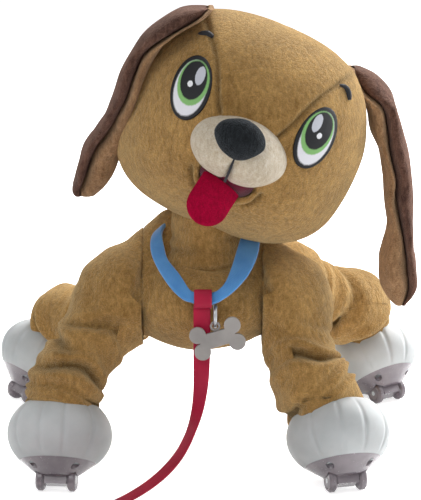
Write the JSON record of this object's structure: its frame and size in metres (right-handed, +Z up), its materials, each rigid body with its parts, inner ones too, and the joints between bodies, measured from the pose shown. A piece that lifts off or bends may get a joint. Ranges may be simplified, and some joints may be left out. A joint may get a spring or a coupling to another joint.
{
  "type": "interactive plush pet",
  "caption": "Plush puppy with a tilted head, floppy ears and hollow plastic paws that roll on wheels, walked on a ribbon leash with a collar and a bone tag.",
  "frame": {"origin": "on the floor under the puppy, midway between the front and the rear axles", "axes": "+X is the puppy's left, +Y is towards its tail, +Z is up from the floor"},
  "size_m": [0.3019, 0.4043, 0.2807],
  "materials": {
    "tan_plush": "short-pile plush",
    "cream_plush": "short-pile plush",
    "black_plush": "short-pile plush",
    "maroon_cloth": "woven cloth",
    "red_felt": "felt",
    "eye_thread": "satin-stitch embroidery",
    "blue_cloth": "brushed cloth",
    "red_ribbon": "woven satin ribbon",
    "steel": "bright wire",
    "grey_plastic": "matte translucent",
    "brown_plush": "short-pile plush",
    "light_brown_plush": "short-pile plush",
    "milky_plastic": "soft gloss, milky",
    "smoky_plastic": "smoky translucent",
    "weight_steel": "zinc plated"
  },
  "bodies": {
    "torso": {"torso_plush": "tan_plush", "collar": "blue_cloth", "leash_loop": "red_ribbon", "leash_strap": "red_ribbon", "leash_coil": "red_ribbon", "leash_handle": "red_ribbon"},
    "neck": {"neck_plush": "tan_plush"},
    "head": {"head_plush": "tan_plush", "muzzle": "cream_plush", "nose": "black_plush", "mouth_lining": "maroon_cloth", "tongue": "red_felt", "eye_patch_right": "eye_thread", "eye_patch_left": "eye_thread", "brow_stitches": "eye_thread"},
    "ear_right": {"ear_outer_right": "brown_plush", "ear_lining_right": "light_brown_plush"},
    "ear_left": {"ear_outer_left": "brown_plush", "ear_lining_left": "light_brown_plush"},
    "tail": {"tail": "tan_plush"},
    "ring": {"split_ring": "steel"},
    "tag": {"bone_tag": "grey_plastic"},
    "leg_front_right": {"leg_front_right": "tan_plush"},
    "paw_front_right": {"cuff_front_right": "tan_plush", "paw_shell_front_right": "milky_plastic", "paw_base_front_right": "smoky_plastic", "paw_weight_front_right": "weight_steel", "paw_screws_front_right": "steel"},
    "wheels_front_right": {"axle_front_right": "steel", "wheel_front_right_right": "smoky_plastic", "wheel_front_right_left": "smoky_plastic"},
    "leg_front_left": {"leg_front_left": "tan_plush"},
    "paw_front_left": {"cuff_front_left": "tan_plush", "paw_shell_front_left": "milky_plastic", "paw_base_front_left": "smoky_plastic", "paw_weight_front_left": "weight_steel", "paw_screws_front_left": "steel"},
    "wheels_front_left": {"axle_front_left": "steel", "wheel_front_left_right": "smoky_plastic", "wheel_front_left_left": "smoky_plastic"},
    "leg_rear_right": {"leg_rear_right": "tan_plush"},
    "paw_rear_right": {"cuff_rear_right": "tan_plush", "paw_shell_rear_right": "milky_plastic", "paw_base_rear_right": "smoky_plastic", "paw_weight_rear_right": "weight_steel", "paw_screws_rear_right": "steel"},
    "wheels_rear_right": {"axle_rear_right": "steel", "wheel_rear_right_right": "smoky_plastic", "wheel_rear_right_left": "smoky_plastic"},
    "leg_rear_left": {"leg_rear_left": "tan_plush"},
    "paw_rear_left": {"cuff_rear_left": "tan_plush", "paw_shell_rear_left": "milky_plastic", "paw_base_rear_left": "smoky_plastic", "paw_weight_rear_left": "weight_steel", "paw_screws_rear_left": "steel"},
    "wheels_rear_left": {"axle_rear_left": "steel", "wheel_rear_left_right": "smoky_plastic", "wheel_rear_left_left": "smoky_plastic"}
  },
  "joints": [
    {"name": "neck_turn", "type": "hinge", "parent": "torso", "child": "neck", "pos_m": [0, -0.042, 0.15], "axis": [0.3746, 0, 0.9272], "range_deg": [-12, 12]},
    {"name": "head_nod", "type": "hinge", "parent": "neck", "child": "head", "pos_m": [0, -0.042, 0.15], "axis": [0.9271, -0.0175, -0.3745], "range_deg": [-8, 5]},
    {"name": "ear_flop_right", "type": "hinge", "parent": "head", "child": "ear_right", "pos_m": [-0.002, -0.036, 0.279], "axis": [0, 1, 0], "range_deg": [0, 35]},
    {"name": "ear_flop_left", "type": "hinge", "parent": "head", "child": "ear_left", "pos_m": [0.092, -0.034, 0.243], "axis": [0, -1, 0], "range_deg": [0, 50]},
    {"name": "tail_wag", "type": "hinge", "parent": "torso", "child": "tail", "pos_m": [0, 0.09628, 0.1263], "axis": [0, -0.7071, 0.7071], "range_deg": [-25, 25]},
    {"name": "ring_swing", "type": "hinge", "parent": "torso", "child": "ring", "pos_m": [0.0077, -0.08672, 0.11125], "axis": [-1, 0, 0], "range_deg": [0, 12]},
    {"name": "tag_swing", "type": "hinge", "parent": "ring", "child": "tag", "pos_m": [0.0077, -0.0918, 0.09957], "axis": [-1, 0, 0], "range_deg": [0, 40]},
    {"name": "hip_front_right", "type": "hinge", "parent": "torso", "child": "leg_front_right", "pos_m": [-0.0358, -0.045, 0.106], "axis": [1, 0, 0], "range_deg": [-10, 10], "stiffness_Nm_per_rad": 0.6},
    {"name": "ankle_front_right", "type": "hinge", "parent": "leg_front_right", "child": "paw_front_right", "pos_m": [-0.077, -0.07, 0.068], "axis": [0.9945, -0.1045, 0], "range_deg": [-12, 12], "stiffness_Nm_per_rad": 0.3},
    {"name": "wheel_turn_front_right", "type": "hinge", "parent": "paw_front_right", "child": "wheels_front_right", "pos_m": [-0.086, -0.095, 0.007], "axis": [0.9945, -0.1045, 0], "continuous": true},
    {"name": "hip_front_left", "type": "hinge", "parent": "torso", "child": "leg_front_left", "pos_m": [0.0358, -0.045, 0.106], "axis": [1, 0, 0], "range_deg": [-10, 10], "stiffness_Nm_per_rad": 0.6},
    {"name": "ankle_front_left", "type": "hinge", "parent": "leg_front_left", "child": "paw_front_left", "pos_m": [0.067, -0.07, 0.066], "axis": [0.9613, 0.2756, 0], "range_deg": [-12, 12], "stiffness_Nm_per_rad": 0.3},
    {"name": "wheel_turn_front_left", "type": "hinge", "parent": "paw_front_left", "child": "wheels_front_left", "pos_m": [0.085, -0.095, 0.007], "axis": [0.9613, 0.2756, 0], "continuous": true},
    {"name": "hip_rear_right", "type": "hinge", "parent": "torso", "child": "leg_rear_right", "pos_m": [-0.0358, 0.058, 0.082], "axis": [1, 0, 0], "range_deg": [-10, 10], "stiffness_Nm_per_rad": 0.6},
    {"name": "ankle_rear_right", "type": "hinge", "parent": "leg_rear_right", "child": "paw_rear_right", "pos_m": [-0.08, 0.084, 0.0615], "axis": [0.5736, -0.8192, 0], "range_deg": [-12, 12], "stiffness_Nm_per_rad": 0.3},
    {"name": "wheel_turn_rear_right", "type": "hinge", "parent": "paw_rear_right", "child": "wheels_rear_right", "pos_m": [-0.122, 0.097, 0.007], "axis": [0.5736, -0.8192, 0], "continuous": true},
    {"name": "hip_rear_left", "type": "hinge", "parent": "torso", "child": "leg_rear_left", "pos_m": [0.0358, 0.058, 0.096], "axis": [1, 0, 0], "range_deg": [-10, 10], "stiffness_Nm_per_rad": 0.6},
    {"name": "ankle_rear_left", "type": "hinge", "parent": "leg_rear_left", "child": "paw_rear_left", "pos_m": [0.086, 0.082, 0.076], "axis": [0.8192, 0.5736, 0], "range_deg": [-12, 12], "stiffness_Nm_per_rad": 0.3},
    {"name": "wheel_turn_rear_left", "type": "hinge", "parent": "paw_rear_left", "child": "wheels_rear_left", "pos_m": [0.125, 0.097, 0.007], "axis": [0.8192, 0.5736, 0], "continuous": true}
  ]
}
